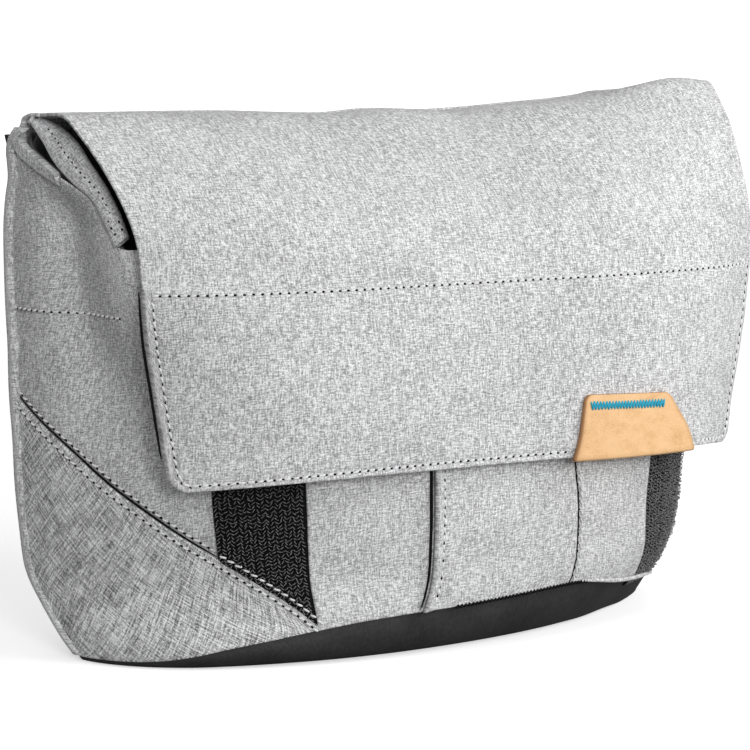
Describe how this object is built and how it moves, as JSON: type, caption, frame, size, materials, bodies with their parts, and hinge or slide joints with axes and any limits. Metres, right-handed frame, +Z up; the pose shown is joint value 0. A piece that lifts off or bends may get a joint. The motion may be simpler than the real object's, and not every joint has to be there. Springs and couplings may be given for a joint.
{
  "type": "camera bag",
  "caption": "Small canvas camera pouch with a coated base, a front pocket between fastener strips, a folding flap with a leather tab, webbing anchor loops and a belt sleeve",
  "frame": {"origin": "centre of the footprint's bounding box, on the surface the pouch stands on", "axes": "+X is the wearer's left-to-right width seen from the front, +Y points to the back that lies against the body, +Z is up"},
  "size_m": [0.2454, 0.0957, 0.1687],
  "materials": {
    "canvas": "heather woven canvas, light grey, matt",
    "bias_canvas": "heather woven canvas cut on the bias, darker grey, matt",
    "coated_base": "coated charcoal base fabric, low sheen",
    "foam": "closed-cell foam padding",
    "lining": "smooth grey lining",
    "stiffener": "polyethylene sheet",
    "fastener": "black hook-and-loop tape",
    "webbing": "black nylon webbing",
    "stretch": "grey stretch fabric",
    "leather": "natural tan leather, smooth grain",
    "thread": "cyan bonded thread"
  },
  "bodies": {
    "body": {"back_panel": "canvas", "back_foam": "foam", "back_lining": "lining", "wrap_panel": "canvas", "wrap_foam": "foam", "wrap_lining": "lining", "base_panel": "coated_base", "base_foam": "foam", "base_board": "stiffener", "floor_lining": "lining", "left_corner_panel": "bias_canvas", "right_corner_panel": "bias_canvas", "left_loop_strip": "fastener", "right_loop_strip": "fastener", "pocket_left_panel": "canvas", "pocket_centre_panel": "canvas", "pocket_right_panel": "canvas", "front_mouth_band": "canvas", "left_mouth_band": "canvas", "right_mouth_band": "canvas", "left_rear_band": "canvas", "right_rear_band": "canvas", "left_edge_welt": "canvas", "right_edge_welt": "canvas", "left_anchor_loop": "webbing", "right_anchor_loop": "webbing", "flap_binding": "canvas", "belt_sleeve": "canvas", "organiser_panel": "stretch", "organiser_binding": "webbing"},
    "flap_top": {"flap_upper_panel": "canvas", "flap_upper_lining": "lining"},
    "flap_front": {"flap_lower_panel": "canvas", "flap_stiffener": "stiffener", "flap_lower_lining": "lining", "left_hook_strip": "fastener", "right_hook_strip": "fastener", "leather_tab": "leather", "tab_bartack": "thread"}
  },
  "joints": [
    {"name": "flap_open", "type": "hinge", "parent": "body", "child": "flap_top", "pos_m": [0, 0.026, 0.1674], "axis": [-1, 0, 0], "range_deg": [0, 190]},
    {"name": "flap_fold", "type": "hinge", "parent": "flap_top", "child": "flap_front", "pos_m": [0, -0.0432, 0.114], "axis": [-1, 0, 0], "range_deg": [0, 60]}
  ]
}
